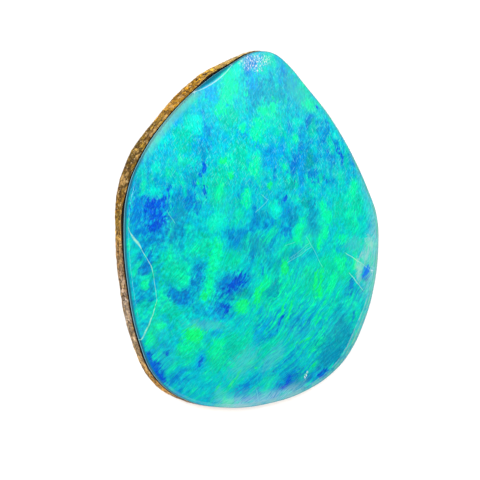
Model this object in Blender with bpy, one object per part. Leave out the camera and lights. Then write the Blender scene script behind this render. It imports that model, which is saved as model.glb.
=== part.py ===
"""Loose opal doublet: a slice of precious opal cemented to an ironstone backing.

The stone lies on its flat back with its face up. +Y runs along its length, towards the narrow end,
and the origin is on the underside, below the middle of its outline. Lengths below are in millimetres.
"""

import math

import bmesh
import bpy
import numpy
from mathutils import Vector, noise

MM = 0.001

# Outline of the opal seen from above, anticlockwise from the right-hand side (x, y).
GIRDLE_POINTS = [
    (12.8, -1.4), (12.6, 1.4), (11.9, 3.2), (10.35, 6.3), (9.0, 8.5), (7.5, 10.55), (5.2, 13.05),
    (3.2, 15.1), (1.75, 15.95), (0.0, 15.9), (-1.9, 14.9), (-4.5, 13.3), (-8.5, 9.75),
    (-11.1, 6.25), (-12.35, 3.3), (-12.7, -0.2), (-12.25, -5.4), (-11.15, -10.1), (-9.6, -13.2),
    (-6.8, -15.2), (-3.0, -16.0), (1.6, -15.7), (5.7, -14.45), (8.4, -12.75), (9.9, -11.1),
    (11.2, -8.7), (12.25, -5.6),
]
SAMPLES_PER_SPAN = 5

# Heights of the layers above the underside.
JOIN_HEIGHT = 1.62          # flat ground underside of the opal
WALL_HEIGHT = 0.60          # upright edge of the opal
CROWN_HEIGHT = 3.15         # top of the domed face
FILM_GAP = 0.02             # clearance between touching layers, small because the film is thin

# Opal: width of the polished bevel by bearing in degrees round the rim, 0 at +X and 90 at +Y.
BEVEL_WIDTH = [
    (0, 0.45), (40, 0.25), (80, 0.25), (96, 0.30), (101, 0.80), (107, 1.00), (113, 0.75),
    (118, 0.42), (135, 0.30), (180, 0.18), (240, 0.22), (270, 0.40), (300, 0.50), (319, 0.85),
    (335, 0.55),
]
BEVEL_RISE = 0.10           # rise of the narrowest bevel
BEVEL_SLOPE = 0.22          # further rise for each millimetre of bevel width
CROWN_CENTRE = (0.3, -1.2)
CROWN_RINGS = (0.95, 0.87, 0.76, 0.62, 0.46, 0.28, 0.12)
CROWN_FULLNESS = 2.3        # exponent of the dome's profile: 2 is a parabola, more is flatter on top

# Cement film: thickness at the rim, and how far it was squeezed out past the opal, by bearing.
FILM_THICKNESS = [
    (0, 0.20), (75, 0.25), (92, 0.48), (109, 0.50), (115, 0.16), (166, 0.15), (172, 0.44),
    (182, 0.44), (190, 0.26), (215, 0.26), (226, 0.32), (245, 0.18), (262, 0.12), (300, 0.16),
]
FILM_SQUEEZE = [
    (0, 0.0), (78, 0.0), (92, 0.14), (106, 0.16), (114, 0.02), (168, 0.0), (176, 0.04), (186, 0.0),
]
FILM_BODY = 0.28            # thickness of the film away from the rim
FILM_EVEN_INSET = 1.6       # distance from the rim at which the film becomes even

# Ironstone: how far its foot stands out past the opal, by bearing, and the wear of its edges.
FOOT_FLARE = [
    (20, -0.25), (84, -0.25), (93, 0.04), (97, 0.22), (103, 0.35), (110, 0.48), (121, 0.32),
    (132, 0.15), (148, 0.36), (162, 0.34), (180, 0.08), (200, 0.12), (214, 0.08), (228, -0.02),
    (238, 0.0), (248, -0.08), (265, -0.20), (300, -0.25),
]
FOOT_CHAMFER = 0.18
FLANK_LEVELS = (0.0, 0.35, 0.7)     # share of the flank's height at each ring below the rim
FLANK_ROUGHNESS = 0.05              # unevenness of the ground flank
FLANK_GRAIN = 0.9                   # waves of that unevenness per millimetre

FACE_COLOUR = (0.01, 0.52, 0.60, 1.0)
CEMENT_COLOUR = (0.012, 0.011, 0.012, 1.0)
IRONSTONE_COLOUR = (0.38, 0.22, 0.11, 1.0)
SMOOTH_BELOW = math.radians(28)


def clear_scene():
    """Remove every object that the startup file holds."""
    for old in list(bpy.data.objects):
        bpy.data.objects.remove(old, do_unlink=True)


def make_collection(name):
    """Return a new collection linked to the scene."""
    collection = bpy.data.collections.new(name)
    bpy.context.scene.collection.children.link(collection)
    return collection


def make_material(name, colour, roughness):
    """Return a plain Principled material."""
    material = bpy.data.materials.new(name)
    material.use_nodes = True
    shader = material.node_tree.nodes["Principled BSDF"]
    shader.inputs["Base Color"].default_value = colour
    shader.inputs["Roughness"].default_value = roughness
    shader.inputs["Metallic"].default_value = 0.0
    return material


def sample_girdle():
    """Return points in millimetres along a smooth closed curve through the girdle points."""
    guide_curve = bpy.data.curves.new("girdle_guide", 'CURVE')
    guide_curve.resolution_u = SAMPLES_PER_SPAN
    spline = guide_curve.splines.new('BEZIER')
    spline.bezier_points.add(len(GIRDLE_POINTS) - 1)
    spline.use_cyclic_u = True
    for knot, (x, y) in zip(spline.bezier_points, GIRDLE_POINTS):
        knot.co = (x, y, 0.0)
        knot.handle_left_type = 'AUTO'
        knot.handle_right_type = 'AUTO'
    guide = bpy.data.objects.new("girdle_guide", guide_curve)
    bpy.context.scene.collection.objects.link(guide)
    depsgraph = bpy.context.evaluated_depsgraph_get()
    traced = bpy.data.meshes.new_from_object(guide.evaluated_get(depsgraph))
    samples = [vertex.co.copy() for vertex in traced.vertices]
    bpy.data.meshes.remove(traced)
    bpy.data.objects.remove(guide, do_unlink=True)
    bpy.data.curves.remove(guide_curve)
    return samples


def read_stations(stations, point):
    """Read a value at a point of the rim, between stations given by bearing in degrees."""
    bearing = math.degrees(math.atan2(point.y, point.x))
    bearings, values = zip(*stations)
    return float(numpy.interp(bearing, bearings, values, period=360.0))


def outward(samples, index):
    """Return the outline's outward direction at a sample."""
    before = samples[index - 1]
    after = samples[(index + 1) % len(samples)]
    along = after - before
    return Vector((along.y, -along.x, 0.0)).normalized()


def offset_ring(samples, distances, heights):
    """Move each sample outwards by its distance and lift it to its height."""
    ring = []
    for index, sample in enumerate(samples):
        moved = sample + outward(samples, index) * distances[index]
        ring.append(Vector((moved.x, moved.y, heights[index])))
    return ring


def level_ring(samples, distance, height):
    """Offset the whole outline by one distance at one height."""
    count = len(samples)
    return offset_ring(samples, [distance] * count, [height] * count)


def split_warped_faces(model):
    """Split each four-sided face along its higher diagonal, so that touching layers match."""
    for face in [face for face in model.faces if len(face.verts) == 4]:
        first, second, third, fourth = face.verts
        if first.co.z + third.co.z >= second.co.z + fourth.co.z:
            bmesh.utils.face_split(face, first, third)
        else:
            bmesh.utils.face_split(face, second, fourth)


def grow_solid(name, rings, material, collection, apex=None):
    """Cap the lowest ring, extrude the cap through the others, and rise to the apex if there is one."""
    model = bmesh.new()
    corners = [model.verts.new(point * MM) for point in rings[0]]
    cap = model.faces.new(corners)
    for ring in rings[1:]:
        region = [cap, *cap.edges, *cap.verts]
        grown = bmesh.ops.extrude_face_region(model, geom=region)["geom"]
        twins = {tuple(vertex.co): vertex for vertex in grown if isinstance(vertex, bmesh.types.BMVert)}
        corners = [twins[tuple(corner.co)] for corner in corners]
        cap = next(face for face in grown if isinstance(face, bmesh.types.BMFace))
        for corner, point in zip(corners, ring):
            corner.co = point * MM
    if apex is not None:
        poked = bmesh.ops.poke(model, faces=[cap])
        poked["verts"][0].co = apex * MM
    bmesh.ops.recalc_face_normals(model, faces=model.faces)
    split_warped_faces(model)
    mesh = bpy.data.meshes.new(name)
    model.to_mesh(mesh)
    model.free()
    mesh.materials.append(material)
    mesh.shade_smooth()
    mesh.set_sharp_from_angle(angle=SMOOTH_BELOW)
    piece = bpy.data.objects.new(name, mesh)
    collection.objects.link(piece)
    return piece


def film_floor(samples):
    """Return the film's two lower rings: the rim of changing height, and the even ring inside it."""
    film_top = JOIN_HEIGHT - FILM_GAP
    squeeze = [read_stations(FILM_SQUEEZE, sample) for sample in samples]
    rim_heights = [film_top - read_stations(FILM_THICKNESS, sample) for sample in samples]
    rim = offset_ring(samples, squeeze, rim_heights)
    even = level_ring(samples, -FILM_EVEN_INSET, film_top - FILM_BODY)
    return rim, even


def build_opal(samples, collection):
    """Opal slice: flat underside, upright wall, polished bevel of changing width, low dome."""
    wall_top = JOIN_HEIGHT + WALL_HEIGHT
    widths = [read_stations(BEVEL_WIDTH, sample) for sample in samples]
    bevel_heights = [wall_top + BEVEL_RISE + BEVEL_SLOPE * width for width in widths]
    bevel = offset_ring(samples, [-width for width in widths], bevel_heights)
    rings = [level_ring(samples, 0.0, JOIN_HEIGHT), level_ring(samples, 0.0, wall_top), bevel]
    apex = Vector((*CROWN_CENTRE, CROWN_HEIGHT))
    for share in CROWN_RINGS:
        ring = []
        for edge in bevel:
            point = apex.lerp(edge, share)
            point.z = CROWN_HEIGHT - (CROWN_HEIGHT - edge.z) * share ** CROWN_FULLNESS
            ring.append(point)
        rings.append(ring)
    material = make_material("precious_opal", FACE_COLOUR, 0.06)
    return grow_solid("opal_face", rings, material, collection, apex)


def build_cement(samples, collection):
    """Black epoxy film, thick and thin by turns along the rim."""
    rim, even = film_floor(samples)
    squeeze = [read_stations(FILM_SQUEEZE, sample) for sample in samples]
    heights = [JOIN_HEIGHT - FILM_GAP] * len(samples)
    top = offset_ring(samples, squeeze, heights)
    material = make_material("black_epoxy", CEMENT_COLOUR, 0.35)
    return grow_solid("black_cement", [even, rim, top], material, collection)


def build_backing(samples, collection):
    """Ironstone back: flat ground underside, worn foot, uneven flank, top that follows the film."""
    drop = Vector((0.0, 0.0, -FILM_GAP))
    rim, even = film_floor(samples)
    rim_ring = [point + drop for point in rim]
    flare = [read_stations(FOOT_FLARE, sample) for sample in samples]
    sole = offset_ring(samples, [reach - FOOT_CHAMFER for reach in flare], [0.0] * len(samples))
    rings = [sole]
    for share in FLANK_LEVELS:
        distances = []
        heights = []
        for reach, sample, top in zip(flare, samples, rim_ring):
            height = FOOT_CHAMFER + (top.z - FOOT_CHAMFER) * share
            grain = noise.noise(Vector((sample.x, sample.y, height)) * FLANK_GRAIN)
            distances.append(reach * (1.0 - share) + grain * FLANK_ROUGHNESS)
            heights.append(height)
        rings.append(offset_ring(samples, distances, heights))
    rings.append(rim_ring)
    rings.append([point + drop for point in even])
    material = make_material("ironstone", IRONSTONE_COLOUR, 0.8)
    return grow_solid("ironstone_backing", rings, material, collection)


def main():
    clear_scene()
    collection = make_collection("opal_doublet")
    samples = sample_girdle()
    build_backing(samples, collection)
    build_cement(samples, collection)
    build_opal(samples, collection)


main()
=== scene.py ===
import math
import bmesh
import bpy
import numpy
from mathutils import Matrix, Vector, noise
from mathutils.bvhtree import BVHTree


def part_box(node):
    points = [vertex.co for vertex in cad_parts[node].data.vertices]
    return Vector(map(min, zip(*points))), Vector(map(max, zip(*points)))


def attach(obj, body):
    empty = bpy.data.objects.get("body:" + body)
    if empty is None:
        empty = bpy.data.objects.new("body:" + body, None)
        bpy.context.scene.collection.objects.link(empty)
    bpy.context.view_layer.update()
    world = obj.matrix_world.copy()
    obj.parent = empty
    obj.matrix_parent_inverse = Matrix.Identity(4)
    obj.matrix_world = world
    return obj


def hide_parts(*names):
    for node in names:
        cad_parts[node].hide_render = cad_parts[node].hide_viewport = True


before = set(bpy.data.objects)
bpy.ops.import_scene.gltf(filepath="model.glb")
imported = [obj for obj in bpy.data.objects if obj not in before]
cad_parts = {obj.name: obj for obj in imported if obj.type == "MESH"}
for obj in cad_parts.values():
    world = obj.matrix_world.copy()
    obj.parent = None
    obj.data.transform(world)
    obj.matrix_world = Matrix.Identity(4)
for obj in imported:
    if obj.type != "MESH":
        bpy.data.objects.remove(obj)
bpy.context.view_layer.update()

mm = 0.001
spokes = 760  # corners round each piece, about one every 0.12 mm
pole = Vector((0.3 * mm, -1.2 * mm, 0))  # the highest point of the dome, which every ring runs round
farOut, farUp = 40, 20  # in mm: where rays start, well outside the stone
bearingCircle = 14  # in mm: about the stone's own radius, where bearings are read
farAside = 9.0  # in mm: what a spot or line says where it is nowhere near
studio = {
    "cameraTilt": 27.0,  # degrees from straight down, leaning towards the side that shows the layers
    "cameraDistance": 360 * mm,
    "lens": 300.0,
    "aim": (-1.04 * mm, -0.98 * mm, 1.5 * mm),
    "level": 1.4,  # how bright a white card on the floor is, so that the floor stays white in soft shadow
    "roomLight": 0.13,
    "softboxes": [  # name, way out from the stone, size and power
        ("keyBehindCamera", (-0.42, 0.05, 0.90), 0.5, 10.6),
        ("upperLeftWindow", (-0.40, 0.76, 0.51), 0.42, 2.6),
        ("frontPanel", (0.15, -0.88, 0.45), 0.8, 5.0),
        ("rightPanel", (0.95, -0.10, 0.30), 0.7, 3.0),
        ("backPanel", (0.40, 0.85, 0.35), 0.8, 3.0),
    ],
    "softboxDistance": 1.0,
    "floorSize": 8,
    "floorColour": (0.93, 0.93, 0.93, 1),
}


# Modelling by rings: a circle is extruded ring by ring, and each new ring is put where the stone has it

fullTurn = 2 * math.pi
spokeWays = [Vector((math.cos(fullTurn * i / spokes), math.sin(fullTurn * i / spokes), 0)) for i in range(spokes)]


def surfaceOf(node):
    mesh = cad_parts[node].data
    return BVHTree.FromPolygons([v.co for v in mesh.vertices], [p.vertices for p in mesh.polygons])


def evened(values, reach=4):
    padded = numpy.concatenate([values[-reach:], values, values[:reach]])
    return numpy.convolve(padded, numpy.ones(2 * reach + 1) / (2 * reach + 1), mode="valid")


def reachOf(surface, heights):
    # how far the solid goes out from the pole along each spoke, at one height or at a height for each spoke
    reaches = []
    for way, height in zip(spokeWays, numpy.broadcast_to(heights, spokes)):
        start = pole + way * farOut * mm + Vector((0, 0, float(height)))
        reaches.append((surface.ray_cast(start, -way)[0].xy - pole.xy).length)
    return evened(numpy.array(reaches))


def rimHeightOf(surface, reaches, inset=0.12 * mm):
    # how high the top of the solid stands just inside its rim
    heights = []
    for way, reach in zip(spokeWays, reaches):
        start = pole + way * float(reach - inset) + Vector((0, 0, farUp * mm))
        heights.append(surface.ray_cast(start, Vector((0, 0, -1)))[0].z)
    return evened(numpy.array(heights))


def aroundRim(stations):
    # a value in mm for each spoke, from a few given ones at their bearings (0 = +X, 90 = +Y)
    bearings, values = zip(*stations)
    spots = [pole + way * bearingCircle * mm for way in spokeWays]
    asked = [math.degrees(math.atan2(spot.y, spot.x)) % 360 for spot in spots]
    return evened(numpy.interp(asked, bearings, values, period=360)) * mm


def lean(reaches):
    # turns a width square to the rim into one along the spoke
    turn = numpy.gradient(numpy.concatenate([reaches[-1:], reaches, reaches[:1]]))[1:-1] / (fullTurn / spokes)
    return numpy.sqrt(1 + (turn / reaches) ** 2)


def startPiece(name, reaches, heights):
    bpy.ops.object.select_all(action="DESELECT")
    bpy.ops.mesh.primitive_circle_add(vertices=spokes, radius=bearingCircle * mm, fill_type="NGON", location=pole)
    bpy.ops.object.transform_apply(location=True, rotation=True, scale=True)
    piece = bpy.context.object
    piece.name = name
    piece.data.name = name
    spokeNumbers = piece.data.attributes.new("spoke", "INT", "POINT")
    for corner, number in zip(piece.data.vertices, spokeNumbers.data):
        out = corner.co - pole
        number.value = round(math.atan2(out.y, out.x) / fullTurn * spokes) % spokes
    bpy.ops.object.mode_set(mode="EDIT")
    bpy.ops.mesh.select_mode(type="FACE")
    bpy.ops.mesh.select_all(action="SELECT")
    placeRing(piece, reaches, heights)
    return piece


def placeRing(piece, reaches, heights):
    reaches = numpy.broadcast_to(reaches, spokes)
    heights = numpy.broadcast_to(heights, spokes)
    shape = bmesh.from_edit_mesh(piece.data)
    spokeNumber = shape.verts.layers.int["spoke"]
    for corner in shape.verts:
        if corner.select:
            number = corner[spokeNumber]
            corner.co = pole + spokeWays[number] * float(reaches[number])
            corner.co.z = float(heights[number])
    bmesh.update_edit_mesh(piece.data)


def addRing(piece, reaches, heights):
    anyLift = 0.01 * mm  # the new ring is put in its place right after
    bpy.ops.mesh.extrude_region_move(TRANSFORM_OT_translate={"value": (0, 0, anyLift)})
    placeRing(piece, reaches, heights)


def closePiece(piece):
    bpy.ops.mesh.poke()  # the last cap becomes a fan round the pole
    bpy.ops.mesh.select_all(action="SELECT")
    bpy.ops.mesh.normals_make_consistent(inside=False)
    bpy.ops.object.mode_set(mode="OBJECT")
    piece.data.attributes.remove(piece.data.attributes["spoke"])


def applyModifier(piece, kind, **settings):
    bpy.context.view_layer.objects.active = piece
    modifier = piece.modifiers.new(kind.title(), kind)
    for name, value in settings.items():
        setattr(modifier, name, value)
    bpy.ops.object.modifier_apply(modifier=modifier.name)


def finishPiece(piece, node, smoothAngle):
    bpy.ops.object.select_all(action="DESELECT")
    piece.select_set(True)
    bpy.context.view_layer.objects.active = piece
    bpy.ops.object.shade_smooth_by_angle(angle=math.radians(smoothAngle))
    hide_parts(node)
    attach(piece, "root")
    print(f"{piece.name}: {len(piece.data.polygons)} faces, stands for {node}")


# Material helpers: each adds one node and hands back the socket that the next one reads

def join(tree, value, socket):
    if isinstance(value, bpy.types.NodeSocket):
        tree.links.new(value, socket)
    else:
        socket.default_value = value


def addNode(tree, kind, inputs, **settings):
    made = tree.nodes.new("ShaderNode" + kind)
    for name, value in settings.items():
        setattr(made, name, value)
    for name, value in inputs.items():
        join(tree, value, made.inputs[name])
    return made


def maths(tree, operation, *values):
    return addNode(tree, "Math", dict(enumerate(values)), operation=operation).outputs[0]


def times(tree, first, second):
    return maths(tree, "MULTIPLY", first, second)


def vectorMaths(tree, operation, *values):
    return addNode(tree, "VectorMath", dict(enumerate(values)), operation=operation).outputs["Vector"]


def stretched(tree, vector, x, y, z=0):
    return vectorMaths(tree, "MULTIPLY", vector, (x, y, z))


def scaled(tree, vector, factor):
    return addNode(tree, "VectorMath", {"Vector": vector, "Scale": factor}, operation="SCALE").outputs["Vector"]


def fade(tree, value, start, end, low=0.0, high=1.0):
    inputs = {"Value": value, "From Min": start, "From Max": end, "To Min": low, "To Max": high}
    return addNode(tree, "MapRange", inputs, interpolation_type="SMOOTHSTEP").outputs["Result"]


def cloud(tree, vector, scale, detail=4.0, roughness=0.55, colour=False):
    inputs = {"Vector": vector, "Scale": scale, "Detail": detail, "Roughness": roughness}
    return addNode(tree, "TexNoise", inputs).outputs["Color" if colour else "Fac"]


def blend(tree, factor, under, over, mode="MIX"):
    inputs = {0: factor, 6: under, 7: over}
    return addNode(tree, "Mix", inputs, data_type="RGBA", blend_type=mode).outputs[2]


def colourRamp(tree, value, stops):
    made = addNode(tree, "ValToRGB", {"Fac": value})
    ramp = made.color_ramp
    while len(ramp.elements) < len(stops):
        ramp.elements.new(0.5)
    for element, (place, colour) in zip(ramp.elements, stops):
        element.position = place
        element.color = screenColour(*colour)
    return made.outputs["Color"]


def newGroup(name, inputs, outputs):
    tree = bpy.data.node_groups.new(name, "ShaderNodeTree")
    for label, (kind, value) in inputs.items():
        socket = tree.interface.new_socket(label, in_out="INPUT", socket_type="NodeSocket" + kind)
        socket.default_value = value
    for label, kind in outputs.items():
        tree.interface.new_socket(label, in_out="OUTPUT", socket_type="NodeSocket" + kind)
    return tree, tree.nodes.new("NodeGroupInput").outputs, tree.nodes.new("NodeGroupOutput").inputs


def useGroup(tree, group, inputs):
    made = addNode(tree, "Group", {}, node_tree=group)
    for name, value in inputs.items():
        join(tree, value, made.inputs[name])
    return made.outputs


def screenColour(red, green, blue):
    # the surface colour that reads as these 0-255 screen values under the studio light
    linear = []
    for value in (red, green, blue):
        share = value / 255
        share = share / 12.92 if share <= 0.04045 else ((share + 0.055) / 1.055) ** 2.4
        linear.append(share / studio["level"])
    return (*linear, 1.0)


def tinted(tree, factor, under, red, green, blue):
    return blend(tree, factor, under, screenColour(red, green, blue))


# Fine grain: a colour is lightened and darkened in small specks
fineGrain, given, result = newGroup("fineGrain", {
    "Vector": ("Vector", (0, 0, 0)), "Colour": ("Color", (1, 1, 1, 1)), "Scale": ("Float", 5.0),
    "Depth": ("Float", 0.2)}, {"Colour": "Color", "Height": "Float"})
specks = cloud(fineGrain, given["Vector"], given["Scale"], 3.0, 0.7)
swing = times(fineGrain, maths(fineGrain, "SUBTRACT", specks, 0.5), given["Depth"])
gain = maths(fineGrain, "MULTIPLY_ADD", swing, 4.0, 1.0)
join(fineGrain, scaled(fineGrain, given["Colour"], gain), result["Colour"])
join(fineGrain, specks, result["Height"])


# A spot with a frayed edge: its distance is 0 in the middle and 1 at the edge
frayedSpot, given, result = newGroup("frayedSpot", {
    "Distance": ("Float", farAside), "Ragged": ("Float", 0.5), "Fray": ("Float", 0.9), "Softness": ("Float", 0.3),
    "Thinned": ("Float", 0.4), "Strength": ("Float", 1.0)}, {"Mask": "Float"})
swing = times(frayedSpot, maths(frayedSpot, "SUBTRACT", given["Ragged"], 0.5), given["Fray"])
outer = maths(frayedSpot, "ADD", given["Softness"], 1.0)
inner = maths(frayedSpot, "SUBTRACT", 1.0, given["Softness"])
edge = fade(frayedSpot, maths(frayedSpot, "ADD", swing, given["Distance"]), outer, inner)
kept = maths(frayedSpot, "SUBTRACT", 1.0, times(frayedSpot, given["Ragged"], given["Thinned"]))
join(frayedSpot, times(frayedSpot, times(frayedSpot, edge, kept), given["Strength"]), result["Mask"])

# A thin line such as a crack, from how far aside of it a point is and how wide it is there
thinLine, given, result = newGroup("thinLine", {
    "Aside": ("Float", farAside), "Half Width": ("Float", 0.0)}, {"Mask": "Float"})
outer = times(thinLine, given["Half Width"], 1.4)
inner = times(thinLine, given["Half Width"], 0.3)
join(thinLine, fade(thinLine, maths(thinLine, "ABSOLUTE", given["Aside"]), outer, inner), result["Mask"])


def attribute(tree, name):
    return addNode(tree, "Attribute", {}, attribute_name=name).outputs["Fac"]


def paint(piece, name, values):
    # one value for each corner of the mesh, which the material reads by its name
    layer = piece.data.attributes.new(name, "FLOAT", "POINT")
    layer.data.foreach_set("value", numpy.asarray(values, dtype=numpy.float32))


def paintSpots(piece, name, places, spots):
    # each oval spot is (x, y, half width, half length, lean to the right in degrees), all in mm
    nearest = numpy.full(len(places), farAside)
    for x, y, halfWidth, halfLength, leaning in spots:
        turn = math.radians(leaning)
        right, up = places[:, 0] - x, places[:, 1] - y
        across = (right * math.cos(turn) - up * math.sin(turn)) / halfWidth
        along = (right * math.sin(turn) + up * math.cos(turn)) / halfLength
        nearest = numpy.minimum(nearest, numpy.hypot(across, along))
    paint(piece, name, nearest)


def paintLines(piece, name, places, lines):
    # each line is a run of (x, y, half width) in mm; its side is signed, so that it stays sharp between corners
    lineReach, lineEnd = 0.4, 0.15  # how far off a corner still knows its line, and how far a line's end fades
    nearest = numpy.full(len(places), farAside)
    side = numpy.full(len(places), farAside)
    width = numpy.zeros(len(places))
    for line in lines:
        for (x, y, halfWidth), (nextX, nextY, nextHalfWidth) in zip(line, line[1:]):
            length = math.hypot(nextX - x, nextY - y)
            wayX, wayY = (nextX - x) / length, (nextY - y) / length
            right, up = places[:, 0] - x, places[:, 1] - y
            share = (right * wayX + up * wayY) / length
            held = numpy.clip(share, 0, 1)
            distance = numpy.hypot(right - held * length * wayX, up - held * length * wayY)
            closer = distance < nearest
            beyond = numpy.maximum(numpy.maximum(-share, share - 1), 0) * length
            here = (halfWidth + (nextHalfWidth - halfWidth) * held) * numpy.clip(1 - beyond / lineEnd, 0, 1)
            side = numpy.where(closer, up * wayX - right * wayY, side)
            width = numpy.where(closer, numpy.where(distance < lineReach, here, 0), width)
            nearest = numpy.minimum(nearest, distance)
    paint(piece, name + "Side", side)
    paint(piece, name + "Width", width)


def frayed(tree, name, ragged, fray, softness, strength, thinned=0.0):
    inputs = {"Distance": attribute(tree, name), "Ragged": ragged, "Fray": fray, "Softness": softness,
              "Thinned": thinned, "Strength": strength}
    return useGroup(tree, frayedSpot, inputs)["Mask"]


def line(tree, name):
    inputs = {"Aside": attribute(tree, name + "Side"), "Half Width": attribute(tree, name + "Width")}
    return useGroup(tree, thinLine, inputs)["Mask"]


def newMaterial(name):
    material = bpy.data.materials.new(name)
    material.use_nodes = True
    tree = material.node_tree
    shader = next(n for n in tree.nodes if n.type == "BSDF_PRINCIPLED")
    place = addNode(tree, "TexCoord", {}).outputs["Object"]
    inMm = scaled(tree, place, 1 / mm)
    return material, tree, shader, inMm


print("helpers and node groups ready")


# The opal slice

opalSlice = {
    "girdleHeight": 0.3 * mm,  # above the join, where the outline is read
    "wallHeight": 0.60 * mm,
    "underEdge": 0.05 * mm,
    "bevelWidths": [(0, 0.45), (40, 0.25), (80, 0.25), (96, 0.30), (101, 0.80), (107, 1.00), (113, 0.75),
                    (118, 0.42), (135, 0.30), (180, 0.18), (240, 0.22), (270, 0.40), (300, 0.50), (319, 0.85),
                    (335, 0.55)],
    "bevelRise": 0.10 * mm,
    "bevelSlope": 0.22,
    "domeFullness": 2.3,
    "domeRings": 100,
    "edgeRounding": 0.02 * mm,
    "roundedAbove": 12,  # degrees between two faces
    "wander": ((0.55, 0.35, 0), (1.7, 0.16, 5)),  # how the spots' edges stray: waves a mm, mm aside, layer of noise
    "lineWander": 0.3,  # share of that for cracks
    "coat": 0.45,
    "coatRoughness": 0.07,
    "index": 1.45,
    "underGloss": 0.03,
    "reliefDepth": 0.02 * mm,
}
# A shell-shaped chip out of the rim: middle, half sizes along, across and down, and the turn in plan
rimChip = {"middle": (-4.67, 14.36, 2.72), "size": (3.70, 1.44, 1.08), "turn": 33.3}

opalSurface = surfaceOf("opal_face")
low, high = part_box("opal_face")
girdle = reachOf(opalSurface, low.z + opalSlice["girdleHeight"])
slant = lean(girdle)
wallTop = low.z + opalSlice["wallHeight"]
bevelWidth = aroundRim(opalSlice["bevelWidths"])
domeEdge = girdle - bevelWidth * slant
domeEdgeHeight = wallTop + opalSlice["bevelRise"] + opalSlice["bevelSlope"] * bevelWidth

opal = startPiece("opalFace", girdle - opalSlice["underEdge"] * slant, low.z)
addRing(opal, girdle, low.z + opalSlice["underEdge"])
for share in (0.25, 0.5, 0.75, 1.0):
    addRing(opal, girdle, low.z + opalSlice["underEdge"] + (wallTop - low.z - opalSlice["underEdge"]) * share)
addRing(opal, domeEdge, domeEdgeHeight)
for ring in range(opalSlice["domeRings"] - 1, 0, -1):
    share = ring / opalSlice["domeRings"]
    addRing(opal, domeEdge * share, high.z - (high.z - domeEdgeHeight) * share ** opalSlice["domeFullness"])
closePiece(opal)
applyModifier(opal, "BEVEL", width=opalSlice["edgeRounding"], segments=3, limit_method="ANGLE",
              angle_limit=math.radians(opalSlice["roundedAbove"]))

bpy.ops.object.select_all(action="DESELECT")
bpy.ops.mesh.primitive_uv_sphere_add(segments=128, ring_count=64, radius=1 * mm)
cutter = bpy.context.object
bpy.ops.object.mode_set(mode="EDIT")
bpy.ops.mesh.select_all(action="SELECT")
bpy.ops.transform.resize(value=rimChip["size"])
bpy.ops.object.mode_set(mode="OBJECT")
cutter.rotation_euler = (0, 0, math.radians(rimChip["turn"]))
cutter.location = Vector(rimChip["middle"]) * mm
bpy.ops.object.transform_apply(location=True, rotation=True, scale=True)
applyModifier(opal, "BOOLEAN", operation="DIFFERENCE", object=cutter, solver="EXACT")
bpy.data.objects.remove(cutter)

corners = numpy.array([corner.co for corner in opal.data.vertices])
out = corners[:, :2] - numpy.array(pole.xy)
number = numpy.arctan2(out[:, 1], out[:, 0]) / fullTurn * spokes
rim = numpy.interp(number, range(spokes), girdle, period=spokes)
rimDistance = (rim - numpy.hypot(*out.T)) / numpy.interp(number, range(spokes), slant, period=spokes)
paint(opal, "rimDistance", rimDistance / mm)
paint(opal, "bevelShare", rimDistance / numpy.interp(number, range(spokes), bevelWidth, period=spokes))
print("opal slice modelled")

# Colours of the flashes, by screen values
flashColours = {
    "sea": (0, 208, 168),
    "tealGreen": (0, 166, 164),
    "teal": (0, 150, 188),
    "sky": (0, 168, 232),
    "blue": (0, 118, 212),
    "royal": (0, 72, 218),
    "spring": (0, 250, 165),
    "aquaGreen": (0, 248, 208),
    "lime": (12, 250, 118),
}
flashStrengths = {"aquaGreen": 0.75, "lime": 0.9, "royal": 0.95, "spring": 0.95}  # the others have 0.85
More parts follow.
